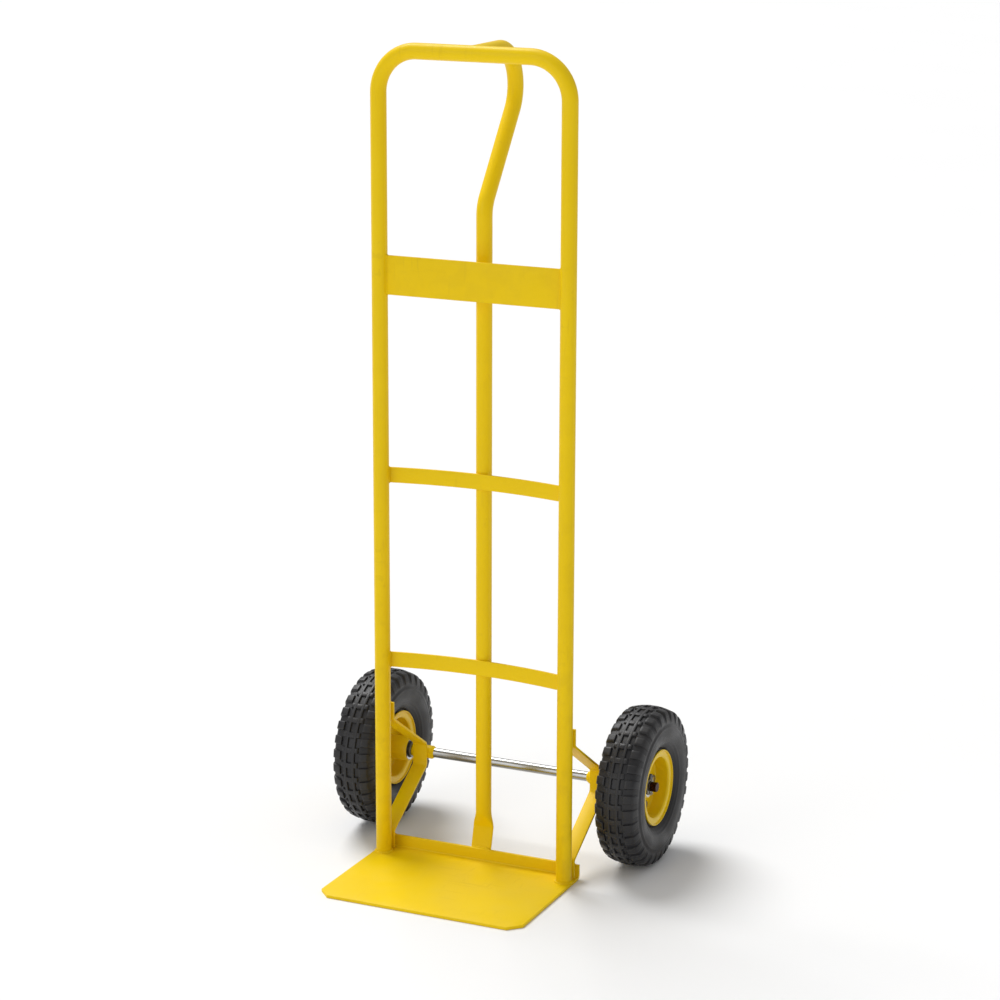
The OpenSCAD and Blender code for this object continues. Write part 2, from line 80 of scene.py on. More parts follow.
# sets a socket to a number or a colour, or links another node's output to it
def feed(tree, socket, value):
    if isinstance(value, tuple):
        socket.default_value = (*value, 1)
    elif isinstance(value, (int, float)):
        socket.default_value = value
    else:
        tree.links.new(value, socket)


def mathNode(tree, operation, first, second=0):
    node = tree.nodes.new("ShaderNodeMath")
    node.operation = operation
    feed(tree, node.inputs[0], first)
    feed(tree, node.inputs[1], second)
    return node.outputs[0]


def remapNode(tree, value, low, high, lowOut=0.0, highOut=1.0):
    node = tree.nodes.new("ShaderNodeMapRange")
    given = {"Value": value, "From Min": low, "From Max": high, "To Min": lowOut, "To Max": highOut}
    for socketName, number in given.items():
        feed(tree, node.inputs[socketName], number)
    return node.outputs["Result"]


def noiseNode(tree, scale, detail, stretch=None, turn=0.0):
    node = tree.nodes.new("ShaderNodeTexNoise")
    feed(tree, node.inputs["Scale"], scale)
    feed(tree, node.inputs["Detail"], detail)
    source = tree.nodes.new("ShaderNodeTexCoord").outputs["Object"]
    if stretch:
        mapping = tree.nodes.new("ShaderNodeMapping")
        mapping.inputs["Scale"].default_value = stretch
        mapping.inputs["Rotation"].default_value = (0, 0, turn)
        tree.links.new(source, mapping.inputs["Vector"])
        source = mapping.outputs["Vector"]
    tree.links.new(source, node.inputs["Vector"])
    return node.outputs["Fac"]


# noise with part of its range drawn out to 0 and 1
def patchNode(tree, scale, detail, limits, stretch=None, turn=0.0):
    return remapNode(tree, noiseNode(tree, scale, detail, stretch, turn), *limits)


grainShape = {"detail": 2, "toneDetail": 4, "toneRange": (0.35, 0.65)}


# fine surface texture and slow change of tone
def makeGrainGroup():
    group, given, result = newGroup("surfaceGrain", {"Grain Scale": 900, "Tone Scale": 9}, ["Grain", "Tone"])
    grain = noiseNode(group, given.outputs["Grain Scale"], grainShape["detail"])
    group.links.new(grain, result.inputs["Grain"])
    tone = patchNode(group, given.outputs["Tone Scale"], grainShape["toneDetail"], grainShape["toneRange"])
    group.links.new(tone, result.inputs["Tone"])
    return group


rubShape = {"edgeRange": (0.53, 0.62), "detail": 5, "patchRange": (0.48, 0.62)}


# paint or plating rubbed thin on outside edges, in patches
def makeRubGroup():
    group, given, result = newGroup("edgeRub", {"Patch Scale": 40, "Strength": 1}, ["Rub"])
    pointiness = group.nodes.new("ShaderNodeNewGeometry").outputs["Pointiness"]
    edge = remapNode(group, pointiness, *rubShape["edgeRange"])
    patch = patchNode(group, given.outputs["Patch Scale"], rubShape["detail"], rubShape["patchRange"])
    rub = mathNode(group, "MULTIPLY", mathNode(group, "MULTIPLY", edge, patch), given.outputs["Strength"])
    group.links.new(rub, result.inputs["Rub"])
    return group


dustShape = {"upRange": (0.2, 1.0), "leastShare": 0.15, "detail": 6, "patchRange": (0.4, 0.75)}


# dust that settles on faces turned up, and in a thin film elsewhere
def makeDustGroup():
    group, given, result = newGroup("settledDust", {"Patch Scale": 22, "Strength": 0.3}, ["Dust"])
    normal = group.nodes.new("ShaderNodeNewGeometry").outputs["Normal"]
    split = group.nodes.new("ShaderNodeSeparateXYZ")
    group.links.new(normal, split.inputs[0])
    upward = remapNode(group, split.outputs["Z"], *dustShape["upRange"], dustShape["leastShare"])
    patch = patchNode(group, given.outputs["Patch Scale"], dustShape["detail"], dustShape["patchRange"])
    dust = mathNode(group, "MULTIPLY", mathNode(group, "MULTIPLY", upward, patch), given.outputs["Strength"])
    group.links.new(dust, result.inputs["Dust"])
    return group


lineShape = {"detail": 3, "stretch": (1, 60, 60)}


# long faint lines that run along X, as on a drawn bar
def makeLineGroup():
    group, given, result = newGroup("drawnLines", {"Line Scale": 30}, ["Lines"])
    lines = noiseNode(group, given.outputs["Line Scale"], lineShape["detail"], lineShape["stretch"])
    group.links.new(lines, result.inputs["Lines"])
    return group


scuffShape = {
    "detail": 5, "firstRange": (0.60, 0.66), "firstStretch": (1.5, 26, 9),
    "secondRange": (0.61, 0.67), "secondStretch": (21, 3, 2), "secondTurn": 0.6,
    "patchScale": 6, "patchDetail": 3, "patchRange": (0.46, 0.62)}


# thin scratches in two directions, where patches of the surface were rubbed by loads and hands
def makeScuffGroup():
    group, given, result = newGroup("handlingScuffs", {"Scratch Scale": 7, "Strength": 0.5}, ["Scuffs"])
    scale = given.outputs["Scratch Scale"]
    s = scuffShape
    first = patchNode(group, scale, s["detail"], s["firstRange"], s["firstStretch"])
    second = patchNode(group, scale, s["detail"], s["secondRange"], s["secondStretch"], s["secondTurn"])
    patch = patchNode(group, s["patchScale"], s["patchDetail"], s["patchRange"])
    marks = mathNode(group, "MULTIPLY", mathNode(group, "MAXIMUM", first, second), patch)
    group.links.new(mathNode(group, "MULTIPLY", marks, given.outputs["Strength"]), result.inputs["Scuffs"])
    return group


# a mask of both ends of a bar that lies along X; on the axle it carries a painted shade and extra roughness
def makeEndGroup():
    group, given, result = newGroup("barEnds", {"From": 0.2, "To": 0.21}, ["Ends"])
    split = group.nodes.new("ShaderNodeSeparateXYZ")
    group.links.new(group.nodes.new("ShaderNodeTexCoord").outputs["Object"], split.inputs[0])
    away = mathNode(group, "ABSOLUTE", split.outputs["X"])
    ends = remapNode(group, away, given.outputs["From"], given.outputs["To"])
    group.links.new(ends, result.inputs["Ends"])
    return group


effects = {"ends": makeEndGroup(), "scuffs": makeScuffGroup(), "grain": makeGrainGroup(),
           "rub": makeRubGroup(), "dust": makeDustGroup(), "lines": makeLineGroup()}


def placeEffect(tree, effect, values):
    node = tree.nodes.new("ShaderNodeGroup")
    node.node_tree = effects[effect]
    for socketName, value in values.items():
        node.inputs[socketName].default_value = value
    return node


def blendColour(tree, share, first, second):
    node = tree.nodes.new("ShaderNodeMix")
    node.data_type = "RGBA"
    for socketName, value in (("Factor", share), ("A", first), ("B", second)):
        feed(tree, node.inputs[socketName], value)
    return node.outputs["Result"]


# the second value is scaled by a share and added to the first
def addShare(tree, value, added, share):
    return mathNode(tree, "ADD", value, mathNode(tree, "MULTIPLY", added, share))


# how strongly each effect changes roughness and height, and what a look has when it says nothing else
wear = {"scuffRough": 0.3, "dustRough": 0.5, "endRough": 0.25,
        "lineRange": (0.3, 0.7), "lineRough": (-0.06, 0.08), "lineHeight": 0.8}
plainLook = {"metal": 0, "coat": 0, "coatRough": 0.1, "specular": 0.5, "bump": 0.15, "bumpDepth": 0.0001}


def makeFinish(name, ownLook):
    look = {**plainLook, **ownLook}
    material = bpy.data.materials.new(name)
    material.use_nodes = True
    tree = material.node_tree
    shader = tree.nodes["Principled BSDF"]
    grain = placeEffect(tree, "grain", {"Grain Scale": look["grainScale"], "Tone Scale": look["toneScale"]})
    colour = blendColour(tree, grain.outputs["Tone"], look["colour"], look["otherColour"])
    height = grain.outputs["Grain"]
    rough = remapNode(tree, grain.outputs["Tone"], 0, 1, *look["rough"])
    if "rubColour" in look:
        rub = placeEffect(tree, "rub", {"Strength": look["rub"]}).outputs["Rub"]
        colour = blendColour(tree, rub, colour, look["rubColour"])
    if "scuffs" in look:
        scuffs = placeEffect(tree, "scuffs", {"Strength": look["scuffs"]}).outputs["Scuffs"]
        colour = blendColour(tree, scuffs, colour, look["rubColour"])
        rough = addShare(tree, rough, scuffs, wear["scuffRough"])
        height = mathNode(tree, "SUBTRACT", height, scuffs)
    if "dust" in look:
        dust = placeEffect(tree, "dust", {"Strength": look["dust"]}).outputs["Dust"]
        colour = blendColour(tree, dust, colour, look["dustColour"])
        rough = addShare(tree, rough, dust, wear["dustRough"])
    if "lineScale" in look:
        lines = placeEffect(tree, "lines", {"Line Scale": look["lineScale"]}).outputs["Lines"]
        change = remapNode(tree, lines, *wear["lineRange"], *wear["lineRough"])
        rough = mathNode(tree, "ADD", rough, change)
        height = addShare(tree, height, lines, wear["lineHeight"])
    # painted shade: the bar's ends are coloured dark maroon to stand in for the shade and dark reflections there
    if "paintedEndShade" in look:
        ends = placeEffect(tree, "ends", {"From": look["endFrom"], "To": look["endTo"]}).outputs["Ends"]
        colour = blendColour(tree, ends, colour, look["paintedEndShade"])
        rough = addShare(tree, rough, ends, wear["endRough"])
    bump = tree.nodes.new("ShaderNodeBump")
    feed(tree, bump.inputs["Strength"], look["bump"])
    feed(tree, bump.inputs["Distance"], look["bumpDepth"])
    feed(tree, bump.inputs["Height"], height)
    given = {"Base Color": colour, "Roughness": rough, "Normal": bump.outputs["Normal"],
             "Metallic": look["metal"], "Coat Weight": look["coat"], "Coat Roughness": look["coatRough"],
             "Specular IOR Level": look["specular"]}
    for socketName, value in given.items():
        feed(tree, shader.inputs[socketName], value)
    return material


# one look for each material slot
looks = {
    "yellow_frame": {
        "colour": (0.86, 0.595, 0.002), "otherColour": (0.83, 0.565, 0.002), "rubColour": (0.62, 0.40, 0.01),
        "rub": 0.55, "scuffs": 0.2, "dust": 0.07, "dustColour": (0.62, 0.50, 0.20), "grainScale": 650,
        "toneScale": 5, "rough": (0.36, 0.48), "bump": 0.35, "bumpDepth": 0.0008, "coat": 0.08,
        "coatRough": 0.18, "specular": 0.11},
    "yellow_rim": {
        "colour": (0.86, 0.60, 0.002), "otherColour": (0.83, 0.56, 0.002), "rubColour": (0.60, 0.38, 0.01),
        "rub": 0.55, "scuffs": 0.15, "dust": 0.10, "dustColour": (0.50, 0.40, 0.20), "grainScale": 600,
        "toneScale": 14, "rough": (0.28, 0.40), "bump": 0.3, "bumpDepth": 0.0006, "coat": 0.15,
        "coatRough": 0.08, "specular": 0.2},
    "axle_steel": {
        "colour": (0.38, 0.38, 0.37), "otherColour": (0.31, 0.31, 0.305), "grainScale": 1500,
        "toneScale": 18, "rough": (0.16, 0.26), "lineScale": 26, "bump": 0.10, "bumpDepth": 0.0002,
        # the axle's ends take a dark maroon painted shade
        "metal": 1, "paintedEndShade": (0.045, 0.018, 0.012), "endFrom": 0.2475, "endTo": 0.2495},
    "zinc_steel": {
        "colour": (0.30, 0.29, 0.27), "otherColour": (0.22, 0.21, 0.19), "rubColour": (0.40, 0.38, 0.35),
        "rub": 0.5, "grainScale": 1200, "toneScale": 60, "rough": (0.28, 0.42), "bump": 0.2,
        "bumpDepth": 0.0002, "metal": 1},
    "bearing_steel": {
        "colour": (0.56, 0.57, 0.59), "otherColour": (0.50, 0.51, 0.53), "grainScale": 2200, "toneScale": 50,
        "rough": (0.14, 0.24), "lineScale": 60, "bump": 0.08, "metal": 1},
    "cage_brass": {
        "colour": (0.62, 0.44, 0.16), "otherColour": (0.52, 0.35, 0.12), "grainScale": 1800, "toneScale": 70,
        "rough": (0.30, 0.45), "metal": 1},
    "seal_rubber": {
        "colour": (0.030, 0.030, 0.031), "otherColour": (0.045, 0.044, 0.042), "grainScale": 2500,
        "toneScale": 80, "rough": (0.55, 0.7), "bump": 0.2},
    "tyre_rubber": {
        "colour": (0.013, 0.013, 0.015), "otherColour": (0.020, 0.019, 0.020),
        "rubColour": (0.040, 0.040, 0.042), "rub": 0.6, "dust": 0.16, "dustColour": (0.095, 0.09, 0.09),
        "grainScale": 1400, "toneScale": 26, "rough": (0.36, 0.52), "bump": 0.35, "bumpDepth": 0.0004,
        "specular": 0.36},
    "tube_rubber": {
        "colour": (0.022, 0.022, 0.023), "otherColour": (0.034, 0.033, 0.032), "grainScale": 1500,
        "toneScale": 40, "rough": (0.4, 0.5), "bumpDepth": 0.0002},
    "valve_brass": {
        "colour": (0.62, 0.50, 0.26), "otherColour": (0.50, 0.38, 0.18), "grainScale": 2000, "toneScale": 90,
        "rough": (0.26, 0.40), "metal": 1},
    "cap_plastic": {
        "colour": (0.020, 0.020, 0.021), "otherColour": (0.032, 0.032, 0.032), "grainScale": 2400,
        "toneScale": 100, "rough": (0.38, 0.5), "bump": 0.2},
}
finishes = {slotName: makeFinish(slotName + "_finish", look) for slotName, look in looks.items()}

# the CAD pieces that stay as they are take the same finishes
slotOfNode = {s["node"]: s["material_slot"] for s in frame["record"]["subparts"]}
for nodeName, cadPiece in frame["nodes"].items():
    for materialSlot in cadPiece.material_slots:
        materialSlot.material = finishes[slotOfNode[nodeName]]
print("finishes made")


# makes a piece from a mesh or from corners and faces, with its finish and the body that it rides on
def addPiece(name, shape, body, slotName, replaced=(), sharpAngle=32):
    mesh = bpy.data.meshes.new(name)
    if isinstance(shape, bmesh.types.BMesh):
        bm = shape
    else:
        bm = bmesh.new()
        verts = [bm.verts.new(v) for v in shape[0]]
        for face in shape[1]:
            bm.faces.new([verts[i] for i in face])
    bmesh.ops.recalc_face_normals(bm, faces=bm.faces)
    bm.to_mesh(mesh)
    bm.free()
    mesh.shade_smooth()
    mesh.set_sharp_from_angle(angle=math.radians(sharpAngle))
    mesh.materials.append(finishes[slotName])
    piece = bpy.data.objects.new(name, mesh)
    bpy.context.scene.collection.objects.link(piece)
    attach(piece, body)
    if replaced:
        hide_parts(*replaced)
    return piece


# several shapes as one
def joinShapes(shapes):
    verts, faces = [], []
    for shapeVerts, shapeFaces in shapes:
        start = len(verts)
        verts += shapeVerts
        faces += [[start + i for i in face] for face in shapeFaces]
    return verts, faces


# stations (point, direction) along straight lengths and round bends
def roundedPath(points, radii, stepDegrees=6):
    stations = [(points[0], (points[1] - points[0]).normalized())]
    for i in range(1, len(points) - 1):
        arriving = (points[i] - points[i - 1]).normalized()
        leaving = (points[i + 1] - points[i]).normalized()
        angle = arriving.angle(leaving)
        radius = radii[i - 1]
        inward = (leaving - arriving * arriving.dot(leaving)).normalized()
        centre = points[i] - arriving * radius * math.tan(angle / 2) + inward * radius
        count = math.ceil(math.degrees(angle) / stepDegrees)
        for k in range(count + 1):
            a = angle * k / count
            place = centre - inward * radius * math.cos(a) + arriving * radius * math.sin(a)
            stations.append((place, arriving * math.cos(a) + inward * math.sin(a)))
    stations.append((points[-1], (points[-1] - points[-2]).normalized()))
    return stations


# faces between rings of corners; a closed run joins its last ring to its first, an open one gets end faces
def ringShape(rings, closed=False):
    n, count = len(rings[0]), len(rings)
    verts = [v for ring in rings for v in ring]
    faces = []
    for k in range(count if closed else count - 1):
        for i in range(n):
            j = (i + 1) % n
            a, b = k * n, (k + 1) % count * n
            faces.append([a + i, a + j, b + j, b + i])
    if not closed:
        faces += [list(range(n)), list(range((count - 1) * n, count * n))]
    return verts, faces


# a section (across, up pairs, one list for each station) carried along a path in one plane
def sweepShape(stations, sections, across):
    rings = []
    for (point, along), section in zip(stations, sections):
        up = across.cross(along)
        rings.append([point + across * a + up * b for a, b in section])
    return ringShape(rings)


def circleSection(radius, count):
    turns = [fullTurn * i / count for i in range(count)]
    return [(radius * math.cos(turn), radius * math.sin(turn)) for turn in turns]


# turned shape: profile points are (outward along the axle, distance from it)
def turnedShape(profile, centre, out, steps=96, closed=True):
    rings = []
    for k in range(steps):
        a = fullTurn * k / steps
        direction = Vector((0, math.sin(a), math.cos(a)))
        rings.append([centre + xAxis * (out * x) + direction * r for x, r in profile])
    verts, faces = ringShape(rings, closed=True)
    if closed:
        return verts, faces
    n = len(profile)
    faces = [f for f in faces if abs(f[0] - f[1]) == 1]  # leaves out the strip from last point to first
    faces += [[k * n for k in range(steps)], [k * n + n - 1 for k in range(steps)]]
    return verts, faces


softening = {"longestShare": 0.45, "middleShare": 0.42}


# cuts each corner of an outline back by a small round
def softened(outline, cut):
    points = [Vector(p) for p in outline]
    soft = []
    for i, corner in enumerate(points):
        before = points[i - 1] - corner
        after = points[(i + 1) % len(points)] - corner
        size = min(cut, softening["longestShare"] * before.length, softening["longestShare"] * after.length)
        a = corner + before.normalized() * size
        b = corner + after.normalized() * size
        middle = ((a + b) / 2).lerp(corner, softening["middleShare"])
        soft += [tuple(a), tuple(middle), tuple(b)]
    return soft


# both faces of a bent sheet of thickness t, as one closed outline of points in the path's plane
def sheetOutline(stations, across, t):
    edge = [(point, across.cross(along)) for point, along in stations]
    return [p + u * t / 2 for p, u in edge] + [p - u * t / 2 for p, u in reversed(edge)]


rounding = {"sharpDegrees": 28, "segments": 3, "profile": 0.5}


# a flat or bent plate: its outline pushed along depth, with its sharp edges rounded
def plateShape(outline, depth, edgeRadius, cuts=()):
    bm = bmesh.new()
    near = [bm.verts.new(p) for p in outline]
    far = [bm.verts.new(p + depth) for p in outline]
    count = len(outline)
    bm.faces.new(near)
    bm.faces.new(list(reversed(far)))
    for i in range(count):
        j = (i + 1) % count
        bm.faces.new([near[i], near[j], far[j], far[i]])
    bmesh.ops.recalc_face_normals(bm, faces=bm.faces)
    for point, normal in cuts:
        everything = bm.verts[:] + bm.edges[:] + bm.faces[:]
        bmesh.ops.bisect_plane(bm, geom=everything, plane_co=point, plane_no=normal, clear_outer=True)
        bmesh.ops.holes_fill(bm, edges=[e for e in bm.edges if e.is_boundary], sides=0)
    bmesh.ops.recalc_face_normals(bm, faces=bm.faces)
    limit = math.radians(rounding["sharpDegrees"])
    sharp = [e for e in bm.edges if len(e.link_faces) == 2 and e.calc_face_angle() > limit]
    bmesh.ops.bevel(bm, geom=sharp, offset=edgeRadius, segments=rounding["segments"],
                    profile=rounding["profile"], affect="EDGES", clamp_overlap=True)
    return bm


weld = {"radius": 2.1 * mm, "ripple": 0.10, "pitch": 1.9 * mm, "waver": 0.05, "waverRate": 900,
        "waverStart": 2, "taperLength": 1.5, "taperLeast": 0.02, "step": 0.45 * mm, "fewestSteps": 6,
        "sides": 10, "sharpAngle": 60}


# a run of weld: a small round bead with the ripples of each stroke, tapered where it starts and stops
def beadShape(path, radius=weld["radius"], closed=False):
    points = [Vector(p) for p in path] + ([Vector(path[0])] if closed else [])
    lengths = [(b - a).length for a, b in zip(points, points[1:])]
    total = sum(lengths)
    count = max(weld["fewestSteps"], int(total / weld["step"]))
    side = (points[1] - points[0]).normalized().orthogonal().normalized()
    rings, i, gone = [], 0, 0.0
    for k in range(count if closed else count + 1):
        s = total * k / count
        while i < len(lengths) - 1 and s > gone + lengths[i]:
            gone += lengths[i]
            i += 1
        along = (points[i + 1] - points[i]).normalized()
        place = points[i] + along * min(s - gone, lengths[i])
        side = (side - along * side.dot(along)).normalized()
        other = along.cross(side)
        ripple = weld["ripple"] * math.cos(fullTurn * s / weld["pitch"])
        waver = weld["waver"] * math.sin(s * weld["waverRate"] + weld["waverStart"])
        size = radius * (1 + ripple + waver)
        if not closed:
            toEnd = min(s, total - s) / (weld["taperLength"] * radius)
            size *= min(1, math.sqrt(max(weld["taperLeast"], toEnd)))
        rings.append([place + side * a + other * b for a, b in circleSection(size, weld["sides"])])
    return ringShape(rings, closed)

# the frame's tubes
frameTube = {"sides": 56, "cornerRadius": 65 * mm, "bendStep": 3}
railPoints = [Vector((-railX, railY, railLow.z)), Vector((-railX, railY, gripZ)),
              Vector((railX, railY, gripZ)), Vector((railX, railY, railLow.z))]
railRoute = roundedPath(railPoints, [frameTube["cornerRadius"]] * 2, frameTube["bendStep"])
railSections = [circleSection(tubeR, frameTube["sides"])] * len(railRoute)
addPiece("loopedTube", sweepShape(railRoute, railSections, yAxis), "frame", "yellow_frame", ["side_frame"])

handle = {
    "spineBack": 42 * mm, "kinkDrop": 236.3 * mm, "slope": 36.6, "kinkRadius": 50 * mm,
    "hookRadius": 62 * mm, "reachIntoGrip": 6 * mm, "footBack": 33.5 * mm, "footWidth": 35 * mm,
    "footThickness": 5 * mm, "footTop": 84 * mm, "footFlatTop": 58 * mm, "footSteps": 14,
    "footSquareness": 0.5, "footBendHalf": 1.5 * mm, "footBendBack": 0.4 * mm}


# section of the handle tube, round where flat is 0 and pressed to the foot's shape where it is 1
def handleSection(flat):
    half = Vector((tubeR, tubeR)).lerp(Vector((handle["footWidth"], handle["footThickness"])) / 2, flat)
    power = 1 - handle["footSquareness"] * flat
    return [(half.x * math.copysign(abs(c) ** power, c), half.y * math.copysign(abs(s) ** power, s))
            for c, s in circleSection(1, frameTube["sides"])]


def makeHandleTube():
    spineY = railY + handle["spineBack"]
    footY = railY + handle["footBack"]
    hookY = spineY + handle["kinkDrop"] * math.tan(math.radians(handle["slope"]))
    lean = math.atan2(spineY - footY, handle["footFlatTop"] - toeHigh.z)
    halfTilted = (zAxis + Vector((0, math.sin(lean), math.cos(lean)))).normalized()
    bend = handle["footBendHalf"]
    stations = [(Vector((0, footY, handleLow.z)), zAxis), (Vector((0, footY, toeHigh.z - bend)), zAxis),
                (Vector((0, footY + handle["footBendBack"], toeHigh.z + bend)), halfTilted)]
    flats = [1] * len(stations)
    for k in range(handle["footSteps"] + 1):
        share = k / handle["footSteps"]
        z = handle["footFlatTop"] + (handle["footTop"] - handle["footFlatTop"]) * share
        stations.append((Vector((0, spineY, z)), zAxis if k else halfTilted))
        flats.append(1 - share * share * (3 - 2 * share))  # eased at both ends
    corners = [Vector((0, spineY, handle["footTop"])), Vector((0, spineY, gripZ - handle["kinkDrop"])),
               Vector((0, hookY, gripZ)), Vector((0, railY + handle["reachIntoGrip"], gripZ))]
    upper = roundedPath(corners, [handle["kinkRadius"], handle["hookRadius"]], frameTube["bendStep"])[1:]
    stations += upper
    flats += [0] * len(upper)
    return sweepShape(stations, [handleSection(flat) for flat in flats], xAxis)


addPiece("rearHandleTube", makeHandleTube(), "frame", "yellow_frame", ["handle_tube"])
print("tubes made")

# plates and strips
plates = {"edge": 0.7 * mm, "intoTube": 1.2 * mm, "toeEdge": 0.9 * mm, "toeBend": 3 * mm, "toeBendStep": 9,
          "toeCorner": 20 * mm, "toeThickness": 5 * mm, "barThickness": 4 * mm, "barEndBack": 8 * mm,
          "barSteps": 48}


def makeTopPlate():
    low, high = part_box("top_plate")
    end = railX - tubeR + plates["intoTube"]
    corners = ((-end, low.z), (end, low.z), (end, high.z), (-end, high.z))
    outline = [Vector((x, low.y, z)) for x, z in corners]
    return plateShape(outline, yAxis * (high.y - low.y), plates["edge"])


addPiece("widePlate", makeTopPlate(), "frame", "yellow_frame", ["top_plate"])


# a flat bar bowed back between the uprights, through its ends and its middle
def makeCrossbar(nodeName):
    low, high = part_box(nodeName)
    t = plates["barThickness"]
    middle = high.y - t / 2
    bow = middle - (railY + plates["barEndBack"])
    radius = (railX ** 2 + bow ** 2) / (2 * bow)
    half = math.asin((railX - tubeR / 2) / radius)
    centre = Vector((0, middle - radius, low.z))
    stations = []
    for k in range(plates["barSteps"] + 1):
        a = -half + 2 * half * k / plates["barSteps"]
        outward = Vector((math.sin(a), math.cos(a), 0))
        along = Vector((math.cos(a), -math.sin(a), 0))
        stations.append((centre + outward * radius, along))
    return plateShape(sheetOutline(stations, zAxis, t), zAxis * (high.z - low.z), plates["edge"])


for barName in ("upper", "lower"):
    nodeName = barName + "_crossbar"
    addPiece(barName + "BowedBar", makeCrossbar(nodeName), "frame", "yellow_frame", [nodeName])


def makeToePlate():
    t = plates["toeThickness"]
    x = toeLow.x
    corner = Vector((x, toeHigh.y - t / 2, t / 2))
    line = [Vector((x, toeLow.y, t / 2)), corner, Vector((x, corner.y, toeHigh.z))]
    stations = roundedPath(line, [plates["toeBend"] + t / 2], plates["toeBendStep"])
    cuts = []
    for side in sides.values():
        onCut = Vector((side * toeHigh.x, toeLow.y + plates["toeCorner"], 0))
        cuts.append((onCut, Vector((side, -1, 0)).normalized()))
    outline = sheetOutline(stations, xAxis, t)
    return plateShape(outline, xAxis * (toeHigh.x - toeLow.x), plates["toeEdge"], cuts)


addPiece("nosePlate", makeToePlate(), "frame", "yellow_frame", ["toe_plate"])

strip = {"thickness": 4 * mm, "bend": 8 * mm, "lowerKnee": 37 * mm, "faceHeight": 38 * mm,
         "kneeRise": 98 * mm}


def bracketRoute(x):
    low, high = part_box("right_axle_bracket")
    footY = low.y + strip["thickness"] / 2
    faceY = high.y - strip["thickness"] / 2
    topY = railY + tubeR + strip["thickness"] / 2
    points = [(footY, low.z), (footY, strip["lowerKnee"]), (faceY, axleAt.z - strip["faceHeight"] / 2),
              (faceY, axleAt.z + strip["faceHeight"] / 2), (topY, axleAt.z + strip["kneeRise"]),
              (topY, high.z)]
    return roundedPath([Vector((x, y, z)) for y, z in points], [strip["bend"]] * 4)


for sideName in sides:
    low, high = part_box(sideName + "_axle_bracket")
    bracket = plateShape(sheetOutline(bracketRoute(low.x), xAxis, strip["thickness"]),
                         xAxis * (high.x - low.x), plates["edge"])
    addPiece(sideName + "BentStrip", bracket, "frame", "yellow_frame", [sideName + "_axle_bracket"])
print("plates made")

# the axle and the pieces on it
turned = {"chamfer": 0.8 * mm, "fineChamfer": 0.35 * mm, "clearance": 0.05 * mm, "axleSteps": 64,
          "ringSteps": 72}


# profile of a plain ring that fills a node's box round the axle
def boxRing(nodeName, boreR):
    low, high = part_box(nodeName)
    outerR = (high.z - low.z) / 2
    near, far = sorted((abs(low.x), abs(high.x)))
    return [(near, boreR), (near, outerR), (far, outerR), (far, boreR)]


axleLow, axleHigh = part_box("axle")
axleR = (axleHigh.z - axleLow.z) / 2
holeR = axleR + turned["clearance"]
axleProfile = [(axleLow.x, axleR - turned["chamfer"]), (axleLow.x + turned["chamfer"], axleR),
               (axleHigh.x - turned["chamfer"], axleR), (axleHigh.x, axleR - turned["chamfer"])]
brightAxle = turnedShape(axleProfile, axleAt, 1, turned["axleSteps"], closed=False)
addPiece("brightAxle", brightAxle, "frame", "axle_steel", ["axle"])

for sideName, side in sides.items():
    for ringName, chamfer, slotName in (("axle_boss", "chamfer", "yellow_frame"),
                                        ("inner_washer", "fineChamfer", "zinc_steel"),
                                        ("outer_washer", "fineChamfer", "zinc_steel"),
                                        ("spacer", "fineChamfer", "zinc_steel")):
        nodeName = f"{sideName}_{ringName}"
        ring = softened(boxRing(nodeName, holeR), turned[chamfer])
        pieceName = sideName + "".join(word.capitalize() for word in ringName.split("_"))
        shape = turnedShape(ring, axleAt, side, turned["ringSteps"])
        addPiece(pieceName, shape, "frame", slotName, [nodeName])

pin = {"wire": 0.85 * mm, "sides": 16, "eye": 3 * mm, "eyeSteps": 20, "splitDrop": 2.2 * mm, "spread": 35,
       "leg": 4.6 * mm, "sharpAngle": 50}


# a split pin as one bent wire: leg, eye and leg
def makeSplitPin(sideName):
    low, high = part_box(sideName + "_split_pin")
    x = (low.x + high.x) / 2
    eyeZ = high.z - pin["eye"] - pin["wire"]
    splitZ = axleAt.z - axleR - pin["splitDrop"]
    half = pin["wire"]
    spread = math.radians(pin["spread"])
    footY = axleAt.y + half + pin["leg"] * math.sin(spread)
    foot = Vector((x, footY, splitZ - pin["leg"] * math.cos(spread)))
    points = [foot, Vector((x, axleAt.y + half, splitZ))]
    start = math.asin(half / pin["eye"])
    for k in range(pin["eyeSteps"] + 1):
        a = start + (fullTurn - 2 * start) * k / pin["eyeSteps"]
        points.append(Vector((x, axleAt.y + pin["eye"] * math.sin(a), eyeZ - pin["eye"] * math.cos(a))))
    points += [Vector((x, axleAt.y - half, splitZ)), Vector((x, 2 * axleAt.y - foot.y, foot.z))]
    before = points[:1] + points[:-1]
    after = points[1:] + points[-1:]
    stations = [(point, (b - a).normalized()) for a, point, b in zip(before, points, after)]
    return sweepShape(stations, [circleSection(pin["wire"], pin["sides"])] * len(points), xAxis)


for sideName in sides:
    addPiece(sideName + "SplitPin", makeSplitPin(sideName), "frame", "zinc_steel", [sideName + "_split_pin"],
             sharpAngle=pin["sharpAngle"])
print("axle made")

